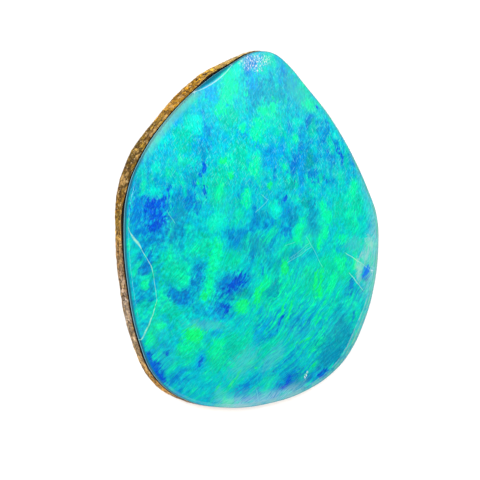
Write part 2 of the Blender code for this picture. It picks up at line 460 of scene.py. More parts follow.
# Flashes and stains on the face: (x, y, half width, half length, lean to the right in degrees), in mm
flashes = {
    "sea": [
        (-2.8, 10.0, 0.9, 0.9, 0), (-7.2, 8.2, 1.0, 0.7, 30), (-7.3, 7.2, 0.8, 0.5, 20),
        (-1.7, 6.8, 0.6, 1.2, 5), (-4.0, 3.2, 0.9, 1.7, 6), (-3.95, 3.8, 1.0, 1.3, 4),
        (-5.5, -1.7, 0.9, 0.9, 20), (-8.6, -3.8, 1.1, 1.2, 0), (-2.8, -2.7, 0.9, 0.9, 0),
        (-2.8, -10.6, 1.5, 1.2, 35), (-4.2, -11.2, 1.2, 1.2, 35), (-8.3, -7.4, 0.6, 0.8, 0),
        (10.3, 2.5, 0.5, 0.9, 10), (9.5, 0.6, 0.5, 0.7, 0), (8.5, 2.0, 0.6, 1.0, 10), (8.2, -3.6, 1.5, 1.1, 30),
        (-7.1, -10.6, 1.1, 0.8, 0), (-10.2, -9.6, 0.6, 1.1, 0), (5.6, -5.0, 1.2, 1.2, 15),
        (1.0, -5.6, 0.8, 1.4, 20)],
    "tealGreen": [
        (5.3, 6.2, 0.35, 0.6, 10), (3.0, 4.3, 0.5, 0.6, 10), (4.9, 2.4, 0.5, 0.6, 0),
        (-1.7, -5.9, 0.9, 0.45, 0), (-8.6, 1.1, 0.4, 0.9, 0)],
    "teal": [
        (-7.7, 1.9, 0.7, 1.0, 0), (-5.5, 6.8, 0.6, 0.8, 0), (-6.3, 4.5, 0.6, 0.8, 0), (3.7, 1.2, 0.6, 0.9, 15),
        (5.5, 1.3, 0.4, 1.1, 10), (0.2, 1.2, 0.6, 0.6, 0), (-0.2, -1.4, 1.4, 0.9, 0), (1.4, -5.3, 0.6, 1.0, 20),
        (7.8, -11.3, 1.6, 1.2, 50), (9.0, -9.8, 1.2, 1.2, 40), (-0.2, 12.2, 0.9, 1.4, 0),
        (4.1, -13.9, 1.1, 0.7, 50)],
    "sky": [
        (-10.5, 1.4, 1.9, 1.7, 0), (-4.3, 12.2, 1.2, 0.5, 48), (-0.2, 13.2, 0.5, 0.9, 0),
        (-8.2, 9.8, 0.6, 0.5, 0), (-4.3, -7.4, 0.9, 0.5, 0), (-3.8, -8.0, 0.8, 0.3, 0),
        (-4.0, -9.5, 0.6, 0.4, 0), (-5.7, -11.7, 0.4, 0.8, 30), (-11.4, -9.4, 0.3, 0.5, -20),
        (-9.0, 3.5, 0.4, 0.4, 0), (2.2, 7.0, 0.5, 0.9, 10), (1.4, 6.0, 0.5, 0.6, 0), (4.4, 5.5, 0.3, 1.1, 0),
        (4.3, 3.7, 0.3, 0.5, 20), (3.8, 13.7, 0.2, 0.3, 0), (4.2, 13.2, 0.3, 0.3, 0),
        (8.3, -1.9, 0.2, 0.35, 15), (4.7, -8.0, 0.2, 0.45, 20), (2.8, -6.9, 0.2, 0.5, 20),
        (0.6, -8.8, 0.3, 1.1, 27), (1.05, -8.2, 0.3, 0.8, 25), (-0.05, -9.4, 0.2, 0.7, 30),
        (2.9, 14.5, 0.25, 0.3, 0), (2.3, 13.4, 0.25, 0.3, 0)],
    "blue": [
        (-10.4, 1.4, 1.8, 1.6, 0), (-11.5, 2.2, 0.6, 0.35, 0), (-11.7, 1.4, 0.45, 0.5, 0),
        (-11.3, -0.1, 0.5, 0.35, 0), (-6.8, 2.4, 0.5, 0.8, 30), (-6.0, 1.8, 0.4, 0.6, 0),
        (-10.6, -2.3, 0.3, 0.6, 0), (-11.0, -3.6, 0.45, 0.65, 0), (-6.0, -4.35, 0.55, 0.85, 25),
        (-8.2, -6.0, 0.5, 0.5, 0), (-7.1, -5.7, 0.5, 0.45, 0), (-7.5, -6.5, 0.5, 0.3, 0),
        (-2.9, -5.2, 1.7, 0.85, -30), (-3.6, -4.85, 0.4, 0.5, 0), (-3.5, -7.1, 0.8, 0.8, 0),
        (-6.1, 3.95, 0.3, 0.45, 0), (3.6, 5.4, 0.4, 0.8, 10), (5.95, 4.4, 0.15, 0.35, 0),
        (7.0, 4.4, 0.15, 0.35, 0), (5.7, 5.0, 0.5, 0.6, 0), (2.9, -0.1, 0.5, 0.7, 20),
        (-0.9, -14.6, 0.45, 0.8, 20), (-1.7, -14.8, 0.3, 0.6, 25), (0.1, -15.0, 0.35, 0.5, 10),
        (9.9, -7.8, 0.2, 0.6, 15), (9.7, -5.1, 0.3, 0.6, 10), (11.35, -4.1, 0.4, 0.6, 20),
        (2.95, 14.3, 0.15, 0.4, -25), (8.35, 7.8, 0.3, 0.8, -20), (7.4, 9.6, 0.2, 0.45, -30),
        (3.5, -13.6, 0.4, 1.1, 54), (0.3, -3.7, 0.15, 0.6, 0)],
    "royal": [
        (-10.9, -11.4, 0.4, 0.9, -25), (-10.2, -12.3, 0.6, 1.3, -40), (-9.3, -13.2, 0.3, 0.8, -50),
        (-9.3, 2.5, 0.4, 0.9, 40), (-10.3, 1.6, 0.6, 1.2, 0), (-9.5, 1.1, 0.5, 0.5, 30),
        (-10.2, 0.2, 0.4, 0.7, 35), (-5.25, 3.2, 0.2, 0.4, 10), (-2.3, -4.95, 0.42, 1.2, 60),
        (-1.7, -4.45, 0.3, 0.6, 50), (-9.0, -11.1, 0.15, 0.4, 0), (-10.4, -11.4, 0.35, 0.4, 0),
        (-5.35, 5.5, 0.25, 0.5, 0), (-5.6, 4.9, 0.15, 0.3, 0), (-8.6, 3.8, 0.25, 0.18, 0),
        (2.8, 2.8, 0.2, 0.4, 30), (6.3, 11.0, 0.15, 0.22, 0), (8.7, 6.7, 0.2, 0.5, -20),
        (7.0, -13.1, 0.28, 0.75, 65), (3.2, -13.8, 0.2, 0.85, 52), (-0.7, -15.1, 0.5, 0.18, 0),
        (2.45, -8.2, 0.12, 0.8, 22), (-3.3, -7.1, 0.4, 0.5, 0), (-5.75, -11.8, 0.15, 0.45, 30)],
    "spring": [
        (-6.4, -9.4, 0.8, 0.55, 0), (-3.9, 3.4, 0.4, 0.9, 6), (-2.5, 13.2, 0.75, 2.0, 22),
        (-3.4, 10.9, 0.6, 0.9, 10), (-1.4, 9.1, 0.4, 0.5, 0), (-0.2, 8.5, 0.4, 0.8, 5),
        (-0.1, 5.8, 0.4, 1.0, 5), (-0.5, 5.2, 0.5, 0.5, 0), (-1.25, 2.8, 0.4, 0.9, 5),
        (-4.3, -2.3, 0.5, 1.4, 12), (-4.8, -5.2, 0.35, 0.6, 10), (-9.5, -8.5, 0.5, 0.3, 0),
        (-10.3, -9.9, 0.3, 0.7, 0), (-7.1, -10.5, 0.8, 0.5, 0), (1.75, 10.95, 0.4, 0.7, 12),
        (0.6, 10.5, 0.5, 0.45, 0), (0.1, 9.3, 0.6, 0.6, 0), (2.7, 5.7, 0.25, 0.3, 0),
        (5.4, 11.2, 0.3, 0.7, -15), (3.85, 8.1, 0.2, 0.5, 8), (10.0, 3.8, 0.4, 0.8, 10),
        (4.2, 0.0, 0.35, 1.1, 8), (4.0, -0.9, 0.6, 0.4, 40), (6.15, -1.1, 0.3, 0.6, 5),
        (7.2, 1.2, 0.45, 0.7, 0), (6.7, 1.9, 0.3, 0.8, 5), (6.9, -0.2, 0.35, 0.8, 0), (8.8, -0.8, 0.5, 0.5, 0),
        (7.6, -4.7, 0.4, 0.9, 15), (8.5, -3.1, 1.0, 0.5, 55), (10.0, -3.2, 0.35, 0.5, 0),
        (0.7, -4.8, 0.35, 0.7, 20), (-11.0, -5.0, 0.4, 0.4, 0), (-4.0, -10.6, 0.5, 1.0, 35),
        (-2.75, -15.4, 0.5, 0.4, 0)],
    "aquaGreen": [
        (-9.2, 7.7, 0.6, 0.5, 0), (-10.3, 3.5, 0.5, 0.5, 0), (-10.0, 5.5, 0.5, 0.5, 0),
        (-4.1, 0.9, 0.8, 0.8, 0), (-4.2, -3.0, 0.28, 0.35, 0), (4.15, 9.6, 0.3, 0.3, 0),
        (8.1, 8.7, 0.3, 0.5, -30), (1.75, 1.75, 0.6, 0.7, 0), (-6.2, 9.3, 0.8, 0.9, 0),
        (3.0, 4.6, 0.25, 0.4, 15), (-1.8, 14.2, 0.5, 0.7, 20)],
    "lime": [
        (-3.4, 6.2, 0.3, 0.4, 0), (-5.8, 4.0, 0.13, 0.45, -10), (-2.7, 5.0, 0.2, 0.3, 0),
        (-5.25, -6.2, 0.4, 0.6, 10), (-1.7, -7.2, 0.65, 0.5, 0), (0.0, -6.0, 0.4, 0.9, 12),
        (-6.4, -9.4, 0.9, 0.65, 0), (1.1, 4.0, 0.25, 0.3, 0), (2.8, -3.4, 0.4, 0.65, 10),
        (6.0, -4.7, 0.2, 1.0, 15), (6.5, -4.9, 0.12, 0.9, 15), (5.7, -5.2, 0.12, 0.7, 15),
        (6.25, -5.9, 0.25, 0.45, 15), (2.6, -7.1, 0.1, 1.2, 18), (3.4, -7.3, 0.1, 1.2, 18),
        (4.9, -10.1, 0.12, 0.6, 65), (5.9, -12.2, 0.14, 0.5, 50), (-3.7, -14.1, 0.12, 0.6, 35),
        (-2.1, -13.5, 0.12, 0.8, 35), (6.1, -1.5, 0.15, 0.5, 0), (0.0, -12.5, 0.15, 0.15, 0)],
}
veils = [
    (-5.2, -8.6, 1.8, 0.45, 0), (1.5, -11.6, 0.6, 1.5, 40), (4.05, 12.8, 0.8, 1.7, -35),
    (-0.7, -15.0, 3.0, 0.5, 0), (10.1, -1.5, 1.0, 0.7, 0), (-3.6, -14.9, 0.5, 0.8, 25),
    (-1.3, -12.0, 0.9, 1.6, 38)]
# Where white glints are painted in for light glinting at the narrow end and on the rim: (x, y, half width, half
# length, lean), in mm
paintedGlintSpots = [
    (-0.7, 15.1, 0.8, 0.7, 0), (0.1, 15.0, 0.6, 0.8, 0), (0.95, 15.2, 0.6, 0.5, 0), (12.0, -3.8, 0.12, 0.4, 0),
    (5.1, -13.3, 0.15, 0.4, 20)]
# Wide zones that pull the ground towards green or blue, or darken it
zones = {
    "greenZone": [
        (-2.65, 12.0, 1.35, 2.65, 8), (1.1, 9.8, 1.35, 2.0, 5), (-1.85, 6.1, 2.3, 1.2, 0),
        (-3.85, 3.4, 1.05, 1.35, 0), (-4.3, -2.8, 0.9, 1.8, 5), (-6.0, -1.45, 1.3, 0.6, 0),
        (-2.55, -3.1, 1.15, 1.1, 0), (-7.7, -3.75, 1.2, 1.15, 0), (-6.9, -10.3, 1.8, 1.4, 20),
        (-2.95, -11.75, 2.0, 2.9, 25), (2.0, -5.4, 2.2, 1.4, 15), (6.6, -5.4, 2.4, 1.5, 10),
        (6.6, 0.0, 0.8, 2.25, 5), (4.2, -0.45, 0.65, 1.1, 0), (10.0, 1.6, 1.7, 2.9, -5),
        (7.5, -4.0, 2.9, 1.6, 0), (0.0, 5.4, 0.75, 0.8, 0), (5.65, 11.1, 0.5, 0.95, -25)],
    "blueZone": [
        (-11.7, 1.5, 0.9, 3.0, 0), (-7.6, 2.2, 1.3, 1.4, 0), (2.2, 0.0, 1.0, 1.1, 0),
        (-0.65, 14.4, 0.7, 0.8, 0), (5.1, 6.1, 4.3, 1.2, 0), (5.6, 8.5, 1.8, 1.35, 0),
        (1.9, 6.75, 1.15, 1.25, 10), (-10.2, 1.15, 2.0, 1.9, 0), (-8.15, 0.25, 0.7, 1.6, 0),
        (-1.4, -0.1, 1.9, 2.15, 0), (-6.0, -4.2, 0.85, 0.9, 0), (-2.45, -5.2, 1.3, 1.1, 0),
        (-7.6, -5.9, 0.9, 0.65, 0), (-3.8, -7.45, 0.8, 0.7, 0), (-9.15, -12.7, 1.5, 2.2, -45),
        (3.2, -13.6, 0.8, 1.7, 52), (6.4, -13.1, 0.6, 1.4, 62), (9.9, -5.35, 0.8, 0.9, 0),
        (2.95, 1.35, 0.7, 2.4, 18), (0.4, -9.25, 0.7, 1.6, 35), (3.95, -8.0, 0.6, 1.3, 40),
        (-10.45, -4.1, 1.0, 2.1, 0), (-5.1, 8.45, 0.6, 1.5, 0)],
    "deepZone": [
        (5.3, 5.4, 0.5, 1.35, 0), (5.5, 0.0, 0.65, 1.15, -10), (3.0, -2.5, 0.6, 2.0, 65),
        (8.6, -10.1, 1.3, 2.8, 30), (-1.9, -6.2, 1.2, 0.4, 0), (4.15, -13.95, 0.5, 1.3, 55),
        (-8.15, 0.25, 0.6, 1.4, 0), (1.2, 12.4, 1.2, 1.0, 0)],
}
streakyPlaces = [(3.5, -9.2, 6.0, 4.6, 30), (6.0, -5.4, 4.6, 2.2, 0)]
mottledPlaces = [(-7.5, -4.5, 4.5, 5.5, 0)]
paleCracks = [
    [(-12.5, 0.1, 0.015), (-12.35, -0.35, 0.03), (-12.1, -0.75, 0.12), (-11.75, -1.2, 0.12), (-11.45, -1.65, 0.035),
     (-10.9, -2.5, 0.02), (-10.45, -3.3, 0.035), (-10.2, -4.2, 0.015), (-9.95, -5.5, 0.02), (-9.9, -6.3, 0.015),
     (-10.2, -7.4, 0.03), (-10.6, -8.5, 0.05), (-10.95, -9.25, 0.08), (-11.2, -9.8, 0.04)],
    [(9.1, -2.2, 0.02), (10.0, -2.7, 0.035), (10.9, -3.1, 0.035), (11.7, -3.6, 0.03)],
    [(9.5, -4.0, 0.02), (10.2, -4.7, 0.04), (11.0, -5.5, 0.035)],
]
hairCracks = [
    [(3.1, -3.0, 0.025), (5.35, -1.7, 0.025)], [(3.3, -2.6, 0.02), (5.2, -1.35, 0.02)],
    [(2.7, -1.5, 0.02), (3.6, -1.15, 0.02)],
    [(4.95, -0.7, 0.02), (5.5, -1.6, 0.03), (6.0, -2.4, 0.02), (6.6, -3.4, 0.02)],
    [(-0.3, 1.6, 0.03), (1.0, 2.65, 0.03), (0.35, 3.1, 0.03)], [(0.1, -14.6, 0.03), (0.3, -15.4, 0.03)],
    [(-8.9, 1.6, 0.02), (-8.2, 0.6, 0.03)],
]
cloudyCrack = [
    (11.7, -1.3, 0.35, 0.7, 0), (11.3, -2.3, 0.45, 0.75, 35), (10.6, -3.3, 0.4, 0.6, 10),
    (10.5, -4.1, 0.25, 0.6, 0)]
blueFacet = [(11.35, -3.8, 0.31, 0.54, 20)]


def chipOutline(chip, height, halfWidth, ends):
    # where the shell of a chip breaks out of the face, as a run of points for a thin line
    x, y, z = chip["middle"]
    halfLength, halfAcross, halfDown = chip["size"]
    turn = math.radians(chip["turn"])
    cut = math.sqrt(1 - ((height - z) / halfDown) ** 2)
    run = []
    for step in range(13):
        along = halfLength * ends * (step / 6 - 1)
        across = -halfAcross * math.sqrt(cut ** 2 - (along / halfLength) ** 2)
        run.append((x + along * math.cos(turn) - across * math.sin(turn),
                    y + along * math.sin(turn) + across * math.cos(turn), halfWidth * (1.3 - abs(step / 6 - 1))))
    return run


places = corners[:, :2] / mm
strayed = places.copy()
noise.seed_set(2)  # without a set seed the wander would follow the clock
for row, place in enumerate(places):
    waves = [noise.noise_vector(Vector((*place, layer)) * often) * far for often, far, layer in opalSlice["wander"]]
    strayed[row] += (waves[0] + waves[1]).xy
for name, spots in {**flashes, **zones}.items():
    paintSpots(opal, name, strayed, spots)
paintSpots(opal, "veil", strayed, veils)
paintSpots(opal, "streaky", places, streakyPlaces)
paintSpots(opal, "mottled", places, mottledPlaces)
paintSpots(opal, "paintedGlint", places, paintedGlintSpots)
paintSpots(opal, "cloudyCrack", strayed, cloudyCrack)
paintSpots(opal, "blueFacet", places, blueFacet)
waved = places + (strayed - places) * opalSlice["lineWander"]
paintLines(opal, "paleCrack", waved, paleCracks)
paintLines(opal, "hairCrack", waved, hairCracks)
# A painted highlight: a pale line along where the chip breaks out of the face, standing in for light caught on its
# edge
chipEdgeHighlight = [chipOutline(rimChip, height=2.38, halfWidth=0.042, ends=0.74),
            [(-5.72, 12.71, 0.03), (-5.95, 12.22, 0.04), (-5.1, 12.5, 0.02)]]
paintLines(opal, "chipEdgeHighlight", places, chipEdgeHighlight)
print("flashes, veils and cracks painted")

material, tree, shader, inMm = newMaterial("preciousOpal")
flat = stretched(tree, inMm, 1, 1)
axes = addNode(tree, "SeparateXYZ", {"Vector": inMm}).outputs

# The colour runs up the narrow end and bends over to the left lower down, as the layers in the rough did
below = maths(tree, "MAXIMUM", maths(tree, "SUBTRACT", 5.5, axes["Y"]), 0.0)
bend = times(tree, times(tree, below, below), 0.030)
drift = cloud(tree, flat, 0.32, 2.0, 0.5, colour=True)
drift = scaled(tree, vectorMaths(tree, "SUBTRACT", drift, (0.5, 0.5, 0.5)), 1.6)
stir = cloud(tree, flat, 1.6, 3.0, 0.6, colour=True)
stir = scaled(tree, vectorMaths(tree, "SUBTRACT", stir, (0.5, 0.5, 0.5)), 0.7)
flow = addNode(tree, "CombineXYZ", {0: maths(tree, "ADD", axes["X"], bend), 1: axes["Y"]}).outputs[0]
flow = vectorMaths(tree, "ADD", flow, drift)
longStreaks = cloud(tree, stretched(tree, flow, 1.7, 0.3), 1.0, 5.0, 0.6)
fineStreaks = cloud(tree, stretched(tree, flow, 5.0, 1.0), 1.0, 4.0, 0.65)
mottle = cloud(tree, vectorMaths(tree, "ADD", flat, stir), 0.55, 7.0, 0.6)
speckle = cloud(tree, flat, 2.4, 5.0, 0.65)
lumps = cloud(tree, vectorMaths(tree, "ADD", flat, drift), 0.28, 3.0, 0.5)
streaky = fade(tree, attribute(tree, "streaky"), 1.5, 0.4, 0.42, 0.85)
streaky = times(tree, streaky, fade(tree, attribute(tree, "mottled"), 1.4, 0.5, 1.0, 0.25))

# The blue-green ground of the stone
ground = addNode(tree, "Mix", {0: streaky, 2: mottle, 3: longStreaks}).outputs[0]
ground = maths(tree, "MULTIPLY_ADD", maths(tree, "SUBTRACT", fineStreaks, 0.5), 0.16, ground)
ground = maths(tree, "MULTIPLY_ADD", maths(tree, "SUBTRACT", speckle, 0.5), 0.18, ground)
wideRagged = maths(tree, "MULTIPLY_ADD", longStreaks, 0.5, times(tree, mottle, 0.5))
wideRagged = fade(tree, wideRagged, 0.34, 0.66)
ground = maths(tree, "ADD", ground, frayed(tree, "greenZone", wideRagged, 1.2, 0.6, 0.085))
ground = maths(tree, "SUBTRACT", ground, frayed(tree, "blueZone", wideRagged, 1.2, 0.6, 0.09))
colour = colourRamp(tree, ground, [
    (0.32, (0, 128, 206)), (0.40, (0, 160, 212)), (0.47, (0, 188, 212)),
    (0.53, (0, 204, 210)), (0.58, (0, 217, 200)), (0.64, (0, 236, 180)),
    (0.72, (0, 250, 162))])
greenPatches = fade(tree, cloud(tree, stretched(tree, flow, 0.62, 0.36), 1.0, 6.0, 0.62), 0.50, 0.62)
colour = tinted(tree, times(tree, greenPatches, 0.6), colour, 0, 226, 164)
blueFlow = vectorMaths(tree, "ADD", stretched(tree, flow, 0.8, 0.5), (9, 4, 0))
bluePatches = fade(tree, cloud(tree, blueFlow, 1.0, 6.0, 0.62), 0.55, 0.66)
colour = tinted(tree, times(tree, bluePatches, 0.4), colour, 0, 150, 218)
strands = cloud(tree, stretched(tree, flow, 4.8, 0.42), 1.0, 2.0, 0.5)
strandPlace = fade(tree, attribute(tree, "streaky"), 1.3, 0.6, 0.12, 1.0)
strandPlace = times(tree, strandPlace, fade(tree, axes["Y"], -10.0, -6.5, 0.7, 1.0))
strandPlace = times(tree, strandPlace, fade(tree, speckle, 0.40, 0.60, 0.25, 1.0))
darkStrands = times(tree, fade(tree, strands, 0.47, 0.36, 0.0, 0.8), strandPlace)
colour = tinted(tree, darkStrands, colour, 0, 158, 190)
brightStrands = times(tree, fade(tree, strands, 0.53, 0.62), strandPlace)
colour = tinted(tree, brightStrands, colour, 6, 248, 150)
colour = tinted(tree, frayed(tree, "deepZone", wideRagged, 1.6, 0.6, 0.55, 0.4), colour, 0, 146, 176)

# The flashes, frayed along the streaks
fineSpeckle = cloud(tree, stretched(tree, flow, 7.0, 2.8), 1.0, 3.0, 0.7)
ragged = maths(tree, "MULTIPLY_ADD", fineStreaks, 0.40, times(tree, speckle, 0.25))
ragged = fade(tree, maths(tree, "MULTIPLY_ADD", fineSpeckle, 0.35, ragged), 0.38, 0.62)
for name in flashes:
    spot = frayed(tree, name, ragged, 1.3, 0.35, flashStrengths.get(name, 0.85), 0.3)
    colour = tinted(tree, spot, colour, *flashColours[name])

# Light and shade along the streaks, scaly where the face is mottled, then dark and pale threads, grain and tints
shade = maths(tree, "MULTIPLY_ADD", maths(tree, "SUBTRACT", fineStreaks, 0.5), 0.5, 1.0)
scaly = fade(tree, attribute(tree, "mottled"), 1.4, 0.7, 0.2, 1.3)
scaly = times(tree, maths(tree, "SUBTRACT", speckle, 0.5), scaly)
colour = scaled(tree, colour, maths(tree, "ADD", shade, scaly))
threads = cloud(tree, stretched(tree, flow, 7.5, 1.5), 1.0, 3.0, 0.7)
colour = tinted(tree, fade(tree, threads, 0.42, 0.28, 0.0, 0.5), colour, 0, 132, 168)
colour = tinted(tree, fade(tree, threads, 0.58, 0.74, 0.0, 0.45), colour, 58, 240, 224)
fibres = stretched(tree, flow, 1.5, 0.5)
grain = useGroup(tree, fineGrain, {"Vector": fibres, "Colour": colour, "Scale": 4.6, "Depth": 0.34})
colour = blend(tree, fade(tree, axes["Y"], 3.0, -4.0), grain["Colour"], (1.0, 0.97, 0.88, 1.0), mode="MULTIPLY")
colour = blend(tree, fade(tree, axes["Y"], -7.0, -13.0), colour, (1.0, 0.86, 0.98, 1.0), mode="MULTIPLY")
colour = tinted(tree, fade(tree, axes["Y"], 8.0, 13.0, 0.0, 0.07), colour, 150, 240, 255)
upperLeft = times(tree, fade(tree, axes["Y"], 4.0, 8.0), fade(tree, axes["X"], 4.0, -2.0, 0.4, 1.0))
colour = blend(tree, upperLeft, colour, (1.0, 1.08, 1.20, 1.0), mode="MULTIPLY")

# Fine pale threads that cross the streaks, most of them towards the narrow end, and pale veils
for turn in (38.0, -24.0):
    turned = addNode(tree, "VectorRotate", {"Vector": flat, "Angle": math.radians(turn)}, rotation_type="Z_AXIS")
    crossing = cloud(tree, stretched(tree, turned.outputs["Vector"], 8.5, 1.3), 1.0, 3.0, 0.7)
    crossing = times(tree, fade(tree, crossing, 0.55, 0.72), fade(tree, axes["Y"], 0.0, 7.0, 0.08, 0.46))
    colour = tinted(tree, crossing, colour, 132, 238, 240)
haze = times(tree, frayed(tree, "veil", ragged, 1.0, 0.5, 0.6), fade(tree, threads, 0.35, 0.62, 0.4, 1.0))
haze = maths(tree, "MAXIMUM", haze, times(tree, fade(tree, lumps, 0.5, 0.75), 0.08))
colour = tinted(tree, haze, colour, 78, 196, 198)

# Painted glints: white specks painted where the polish stops at the narrow end and at two spots on the rim,
# standing in for light glinting there
paintedGlint = frayed(tree, "paintedGlint", ragged, 0.8, 0.4, 1.0)
glints = cloud(tree, stretched(tree, flat, 8.0, 4.6), 1.0, 4.0, 0.8)
paintedGlint = times(tree, paintedGlint, fade(tree, glints, 0.50, 0.59))
colour = tinted(tree, paintedGlint, colour, 240, 250, 255)

# The rim: a dark wall with a painted highlight line at its foot, a dark shell in the chip, pale lines and milk
# along the bevel on the right and at the foot, the pale lines partly painted sheen, and a sage haze on the upper
# left edge
rim = attribute(tree, "rimDistance")
wall = times(tree, fade(tree, axes["Z"], 2.30, 2.18), fade(tree, rim, 0.20, 0.06))
chipped = times(tree, fade(tree, axes["Z"], 2.34, 2.05), fade(tree, rim, 0.04, 0.14))
shell = blend(tree, fade(tree, axes["Z"], 2.28, 2.12), screenColour(0, 186, 214), screenColour(0, 104, 132))
colour = blend(tree, times(tree, chipped, 0.85), colour, shell)
rightSide = fade(tree, axes["X"], 4.0, 9.5)
lowEdge = times(tree, fade(tree, axes["Y"], -11.5, -14.5), fade(tree, axes["X"], -4.8, -2.0))
paleSide = maths(tree, "MAXIMUM", rightSide, lowEdge)
bevelShare = maths(tree, "MULTIPLY_ADD", maths(tree, "SUBTRACT", speckle, 0.5), 0.35, attribute(tree, "bevelShare"))
# Pale lines along the bevel on the right and a lilac-grey tint along the bottom edge: partly the pale translucent
# bevel, partly painted sheen of light caught on the bevel
bevelLines = colourRamp(tree, bevelShare, [
    (0.05, (165, 210, 195)), (0.22, (30, 180, 170)), (0.38, (150, 212, 150)),
    (0.52, (20, 190, 170)), (0.80, (30, 186, 185)), (0.93, (150, 190, 200))])
paleBandAndSheen = times(tree, fade(tree, bevelShare, 1.05, 0.9), times(tree, paleSide, 0.75))
paleBandAndSheen = times(tree, paleBandAndSheen, fade(tree, cloud(tree, flat, 0.9, 5.0, 0.7), 0.40, 0.58, 0.15, 1.0))
bevelColourAndSheen = tinted(tree, times(tree, lowEdge, 0.6), bevelLines, 165, 195, 215)
milk = times(tree, fade(tree, bevelShare, 3.4, 1.2), fade(tree, threads, 0.40, 0.60, 0.25, 1.0))
milkyFoot = times(tree, lowEdge, fade(tree, axes["X"], 6.0, 3.5))
milkySide = times(tree, fade(tree, axes["X"], 9.5, 11.5, 0.0, 0.85), fade(tree, axes["Y"], -7.0, -4.5))
milkySide = times(tree, milkySide, fade(tree, axes["Y"], 2.5, -0.5, 0.3, 1.0))
milk = times(tree, milk, maths(tree, "MAXIMUM", milkyFoot, milkySide))
colour = tinted(tree, times(tree, milk, 0.6), colour, 165, 205, 225)
colour = blend(tree, paleBandAndSheen, colour, bevelColourAndSheen)
sageSide = times(tree, fade(tree, axes["Y"], 5.0, 8.5), fade(tree, axes["Y"], 12.6, 11.8))
sageSide = times(tree, sageSide, fade(tree, axes["X"], -4.0, -6.0))
sageHaze = times(tree, sageSide, fade(tree, rim, 0.70, 0.25, 0.0, 0.6))
colour = tinted(tree, sageHaze, colour, 110, 206, 186)
wallColour = blend(tree, fade(tree, axes["Z"], 1.90, 2.24), screenColour(0, 98, 126), screenColour(0, 138, 164))
wallColour = tinted(tree, times(tree, sageSide, 0.7), wallColour, 120, 186, 172)
wallColour = tinted(tree, times(tree, paleSide, 0.5), wallColour, 110, 170, 175)
# Painted highlight: a pale line along the foot of the wall, standing in for light caught on that edge
paintedFootHighlight = fade(tree, axes["Z"], 1.83, 1.77)
wallColour = tinted(tree, times(tree, paintedFootHighlight, 0.9), wallColour, 140, 212, 235)
colour = blend(tree, times(tree, wall, 0.92), colour, wallColour)

# Cracks healed pale, the cloudy one and the blue facet beside it, hair cracks, and a painted highlight along the
# edge of the chip
pale = times(tree, line(tree, "paleCrack"), fade(tree, speckle, 0.35, 0.6, 0.35, 0.9))
colour = tinted(tree, pale, colour, 172, 238, 206)
cloudy = frayed(tree, "cloudyCrack", ragged, 1.2, 0.8, 0.7, 0.5)
colour = tinted(tree, cloudy, colour, 168, 222, 210)
facet = frayed(tree, "blueFacet", ragged, 1.0, 0.4, 0.85)
colour = tinted(tree, facet, colour, 16, 112, 240)
hair = line(tree, "hairCrack")
colour = tinted(tree, times(tree, hair, 0.6), colour, 120, 225, 225)
# The painted highlight along the chip's edge
paintedChipHighlight = line(tree, "chipEdgeHighlight")
colour = tinted(tree, times(tree, paintedChipHighlight, 0.85), colour, 190, 240, 250)
join(tree, colour, shader.inputs["Base Color"])

join(tree, fade(tree, mottle, 0.3, 0.7, 0.35, 0.5), shader.inputs["Roughness"])
unpolished = maths(tree, "MAXIMUM", maths(tree, "MAXIMUM", wall, chipped), times(tree, paintedGlint, 0.5))
coat = maths(tree, "MULTIPLY_ADD", unpolished, -opalSlice["coat"], opalSlice["coat"])
join(tree, coat, shader.inputs["Coat Weight"])
shader.inputs["Coat Roughness"].default_value = opalSlice["coatRoughness"]
shader.inputs["Coat IOR"].default_value = opalSlice["index"]
shader.inputs["IOR"].default_value = opalSlice["index"]
shader.inputs["Specular IOR Level"].default_value = opalSlice["underGloss"]
scuffs = cloud(tree, flat, 9.0, 4.0, 0.7)
relief = maths(tree, "MULTIPLY_ADD", maths(tree, "MAXIMUM", pale, hair), -1.0, times(tree, scuffs, 0.15))
relief = maths(tree, "MULTIPLY_ADD", paintedGlint, times(tree, scuffs, 1.5), relief)
bump = addNode(tree, "Bump", {"Strength": 0.35, "Distance": opalSlice["reliefDepth"], "Height": relief})
join(tree, bump.outputs["Normal"], shader.inputs["Normal"])
opal.data.materials.clear()
opal.data.materials.append(material)
finishPiece(opal, "opal_face", 35)


# The black cement between the stones

cementFilm = {
    "bulge": [(0, -0.02), (80, -0.06), (86, -0.10), (91, -0.14), (96, -0.15), (101, -0.09), (107, -0.05),
              (113, -0.03), (118, 0.0), (176, 0.0)],
    "thinned": [(0, 0.0), (84, 0.0), (90, 0.06), (96, 0.12), (101, 0.08), (107, 0.0), (176, 0.0)],
    # at these shares of the film's height, these shares of the bulge
    "swelling": [(0.0, 0.8), (0.2, 0.9), (0.4, 1.0), (0.6, 1.0), (0.8, 0.9), (1.0, 0.8)],
    "middleRing": 0.5 * mm,
    "hollow": 0.1 * mm,  # how far the hidden middle lies below the rim
    "hollowInset": 2.0 * mm,
    "footInset": 0.35 * mm,
    "footDrop": 0.02 * mm,
    "topInset": 0.2 * mm,
    "ripple": 0.035 * mm,
    "rippleScale": 0.6 * mm,
    "underGloss": 0.03,
    "reliefDepth": 0.02 * mm,
}
cementSurface = surfaceOf("black_cement")
backingSurface = surfaceOf("ironstone_backing")
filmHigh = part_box("black_cement")[1]
filmReach = reachOf(cementSurface, filmHigh.z - 0.05 * mm)  # just below its top
backingTop = rimHeightOf(backingSurface, reachOf(backingSurface, 1.0 * mm))  # read high up on the flank
bulge = aroundRim(cementFilm["bulge"])
filmFoot = backingTop + aroundRim(cementFilm["thinned"])
filmTop = low.z
filmBottom = backingTop.mean() - cementFilm["hollow"]
cement = startPiece("blackCement", cementFilm["middleRing"], filmBottom)
addRing(cement, filmReach - cementFilm["hollowInset"], filmBottom)
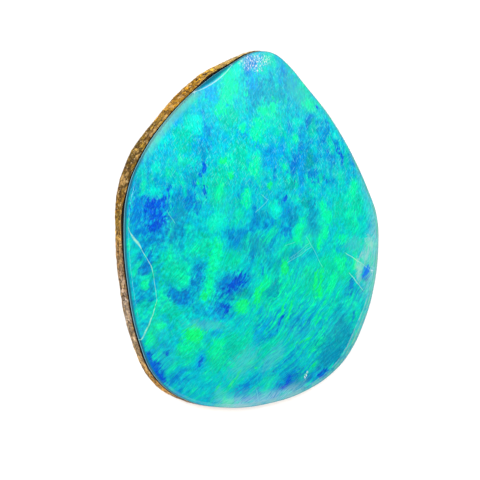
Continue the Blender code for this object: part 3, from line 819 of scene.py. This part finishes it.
addRing(cement, filmReach - cementFilm["footInset"], filmFoot - cementFilm["footDrop"])
for share, swell in cementFilm["swelling"]:
    addRing(cement, filmReach + bulge * swell, filmFoot + (filmTop - filmFoot) * share)
addRing(cement, filmReach - cementFilm["topInset"], filmTop)
addRing(cement, filmReach * 0.5, filmTop)
closePiece(cement)
ripples = bpy.data.textures.new("cementRipples", "CLOUDS")
ripples.noise_scale = cementFilm["rippleScale"]
applyModifier(cement, "DISPLACE", texture=ripples, strength=cementFilm["ripple"], mid_level=0.5,
              texture_coords="LOCAL", direction="X")
cement.data.materials.clear()

material, tree, shader, inMm = newMaterial("blackEpoxy")
specks = cloud(tree, inMm, 3.0, 5.0, 0.6)
black = colourRamp(tree, specks, [(0.4, (4, 3, 3)), (0.62, (12, 9, 8)),
                                  (0.74, (60, 46, 34))])
grain = useGroup(tree, fineGrain, {"Vector": inMm, "Colour": black, "Scale": 9.0, "Depth": 0.3})
join(tree, grain["Colour"], shader.inputs["Base Color"])
join(tree, fade(tree, specks, 0.35, 0.65, 0.55, 0.75), shader.inputs["Roughness"])
shader.inputs["Specular IOR Level"].default_value = cementFilm["underGloss"]
bump = addNode(tree, "Bump", {"Strength": 0.5, "Distance": cementFilm["reliefDepth"], "Height": grain["Height"]})
join(tree, bump.outputs["Normal"], shader.inputs["Normal"])
cement.data.materials.append(material)
finishPiece(cement, "black_cement", 60)


# The ironstone back

ironstone = {
    "footChamfer": 0.18 * mm,
    "flare": [(0, 0.0), (112, 0.0), (124, 0.13), (150, 0.12), (158, 0.0), (176, 0.0)],
    "underRings": [0.15, 0.3, 0.45, 0.6, 0.72, 0.82, 0.9, 0.95, 0.98],
    "levels": [0.0, 0.08, 0.16, 0.24, 0.32, 0.4, 0.48, 0.56, 0.64, 0.72, 0.8, 0.87, 0.94, 1.0],
    "lumpSize": 0.9 * mm,
    "lumpDepth": 0.08 * mm,
    "grainSize": 0.22 * mm,
    "grainDepth": 0.07 * mm,
    "middleRing": 0.6 * mm,
    "footHeight": 0.02 * mm,  # where the underside's outline is read
    "filmClearance": 0.01 * mm,
    "readBelowTop": 0.04 * mm,
    "topInset": 0.45 * mm,
    "topHollow": 0.2 * mm,
    "gloss": 0.15,
    "reliefDepth": 0.05 * mm,
}
flare = aroundRim(ironstone["flare"])
under = reachOf(backingSurface, ironstone["footHeight"]) + flare
backing = startPiece("ironstoneBacking", ironstone["middleRing"], 0.0)
for share in ironstone["underRings"]:
    addRing(backing, under * share, 0.0)
addRing(backing, under, 0.0)
flankFoot = ironstone["footChamfer"]
rimHeight = filmFoot - ironstone["filmClearance"]
for share in ironstone["levels"]:
    level = flankFoot + (rimHeight - flankFoot) * share
    reach = reachOf(backingSurface, numpy.minimum(level, backingTop - ironstone["readBelowTop"]))
    addRing(backing, reach + flare * (1 - 0.6 * share ** 2), level)
addRing(backing, filmReach - ironstone["topInset"], rimHeight - ironstone["filmClearance"])
addRing(backing, filmReach * 0.5, rimHeight.mean() - ironstone["topHollow"])
closePiece(backing)
flankGroup = backing.vertex_groups.new(name="flank")
aboveFloor, outsideMiddle = 0.05 * mm, 9 * mm
flankCorners = [corner.index for corner in backing.data.vertices
                if corner.co.z > aboveFloor and (corner.co - pole).xy.length > outsideMiddle]
flankGroup.add(flankCorners, 1.0, "REPLACE")
for name, size, depth in (("lumps", ironstone["lumpSize"], ironstone["lumpDepth"]),
                          ("grains", ironstone["grainSize"], ironstone["grainDepth"])):
    texture = bpy.data.textures.new("ironstone" + name.title(), "CLOUDS")
    texture.noise_scale = size
    texture.noise_depth = 2
    applyModifier(backing, "DISPLACE", texture=texture, strength=depth, mid_level=0.5, texture_coords="LOCAL",
                  vertex_group="flank")
backing.vertex_groups.clear()
backing.data.materials.clear()

material, tree, shader, inMm = newMaterial("ironstone")
axes = addNode(tree, "SeparateXYZ", {"Vector": inMm}).outputs
patchy = cloud(tree, inMm, 0.5, 4.0, 0.6)
shifted = maths(tree, "MULTIPLY_ADD", maths(tree, "SUBTRACT", patchy, 0.5), 2.0, axes["Y"])
bandPlace = addNode(tree, "MapRange", {"Value": shifted, "From Min": -17.0, "From Max": 17.0}).outputs["Result"]
stone = colourRamp(tree, bandPlace, [
    (0.06, (212, 150, 52)), (0.11, (240, 176, 66)), (0.16, (232, 196, 140)),
    (0.23, (214, 184, 150)), (0.31, (234, 212, 190)), (0.39, (200, 162, 122)),
    (0.46, (208, 160, 92)), (0.51, (252, 200, 78)), (0.56, (186, 140, 46)),
    (0.62, (122, 92, 26)), (0.67, (138, 104, 30)), (0.72, (164, 130, 48)),
    (0.78, (184, 142, 48)), (0.83, (218, 156, 36)), (0.88, (254, 182, 34)),
    (0.92, (255, 200, 64)), (0.96, (255, 222, 142))])
shaken = cloud(tree, inMm, 2.0, 3.0, 0.6, colour=True)
shaken = scaled(tree, vectorMaths(tree, "SUBTRACT", shaken, (0.5, 0.5, 0.5)), 0.8)
shaken = vectorMaths(tree, "ADD", inMm, shaken)
lumpTone = addNode(tree, "TexVoronoi", {"Vector": shaken, "Scale": 2.2}).outputs["Color"]
lumpTone = addNode(tree, "SeparateColor", {"Color": lumpTone}).outputs
stone = scaled(tree, stone, fade(tree, lumpTone[0], 0.0, 1.0, 0.45, 1.35))
stone = tinted(tree, fade(tree, lumpTone[1], 0.66, 0.9, 0.0, 0.6), stone, 130, 84, 26)
stone = tinted(tree, fade(tree, lumpTone[2], 0.70, 0.9, 0.0, 0.6), stone, 214, 170, 104)
layers = cloud(tree, stretched(tree, shaken, 0.6, 0.35, 5.0), 1.0, 4.0, 0.65)
stone = scaled(tree, stone, fade(tree, layers, 0.34, 0.66, 0.48, 1.36))
grain = useGroup(tree, fineGrain, {"Vector": inMm, "Colour": stone, "Scale": 4.2, "Depth": 0.75})
stone = grain["Colour"]
veins = addNode(tree, "TexVoronoi", {"Vector": shaken, "Scale": 2.2}, feature="DISTANCE_TO_EDGE")
veins = veins.outputs["Distance"]
veins = times(tree, fade(tree, veins, 0.10, 0.02), fade(tree, patchy, 0.44, 0.56, 0.25, 0.9))
stone = tinted(tree, veins, stone, 66, 38, 16)
darkSpecks = fade(tree, cloud(tree, inMm, 3.0, 3.0, 0.6), 0.57, 0.64)
stone = tinted(tree, times(tree, darkSpecks, 0.85), stone, 60, 36, 16)
paleGrains = fade(tree, cloud(tree, vectorMaths(tree, "ADD", inMm, (1, 8, 4)), 3.4, 3.0, 0.6), 0.58, 0.66)
stone = tinted(tree, times(tree, paleGrains, 0.75), stone, 234, 200, 140)
join(tree, stone, shader.inputs["Base Color"])
join(tree, fade(tree, patchy, 0.3, 0.7, 0.6, 0.85), shader.inputs["Roughness"])
shader.inputs["Specular IOR Level"].default_value = ironstone["gloss"]
waveInputs = {"Vector": inMm, "Scale": 0.9, "Distortion": 1.5, "Detail": 3.0, "Detail Scale": 0.6}
sawMarks = addNode(tree, "TexWave", waveInputs, bands_direction="DIAGONAL").outputs["Fac"]
underside = fade(tree, axes["Z"], 0.06, 0.01)
height = maths(tree, "MULTIPLY_ADD", times(tree, sawMarks, underside), 0.8, grain["Height"])
bump = addNode(tree, "Bump", {"Strength": 0.6, "Distance": ironstone["reliefDepth"], "Height": height})
join(tree, bump.outputs["Normal"], shader.inputs["Normal"])
backing.data.materials.append(material)
finishPiece(backing, "ironstone_backing", 60)


# Floor, light and camera

bpy.ops.object.select_all(action="DESELECT")
bpy.ops.mesh.primitive_plane_add(size=studio["floorSize"], location=(0, 0, -0.01 * mm))
floor = bpy.context.object
floor.name = "paleFloor"
floorMaterial = bpy.data.materials.new("paleFloor")
floorMaterial.use_nodes = True
floorShader = floorMaterial.node_tree.nodes["Principled BSDF"]
floorShader.inputs["Base Color"].default_value = studio["floorColour"]
floorShader.inputs["Roughness"].default_value = 0.9
floorShader.inputs["Specular IOR Level"].default_value = 0.1
floor.data.materials.append(floorMaterial)

for name, way, size, power in studio["softboxes"]:
    way = Vector(way).normalized()
    bpy.ops.object.light_add(type="AREA", location=Vector(studio["aim"]) + way * studio["softboxDistance"])
    light = bpy.context.object
    light.name = name
    light.data.shape = "SQUARE"
    light.data.size = size
    light.data.energy = power
    light.rotation_euler = (-way).to_track_quat("-Z", "Y").to_euler()

world = bpy.context.scene.world or bpy.data.worlds.new("studioRoom")
bpy.context.scene.world = world
world.use_nodes = True
room = world.node_tree
background = next(n for n in room.nodes if n.type == "BACKGROUND")
background.inputs["Color"].default_value = (1, 1, 1, 1)
seen = room.nodes.new("ShaderNodeLightPath").outputs["Is Camera Ray"]
join(room, fade(room, seen, 0.0, 1.0, studio["roomLight"], 1.0), background.inputs["Strength"])

tilt = math.radians(studio["cameraTilt"])
bpy.ops.object.camera_add()
camera = bpy.context.object
camera.location = Vector(studio["aim"]) + Vector((-math.sin(tilt), 0, math.cos(tilt))) * studio["cameraDistance"]
camera.rotation_euler = (0, -tilt, 0)
camera.data.lens = studio["lens"]
camera.data.sensor_width = 36
camera.data.clip_start = 0.01
bpy.context.scene.camera = camera
bpy.context.scene.view_settings.view_transform = "Standard"

print("stone, floor, lights and camera ready")
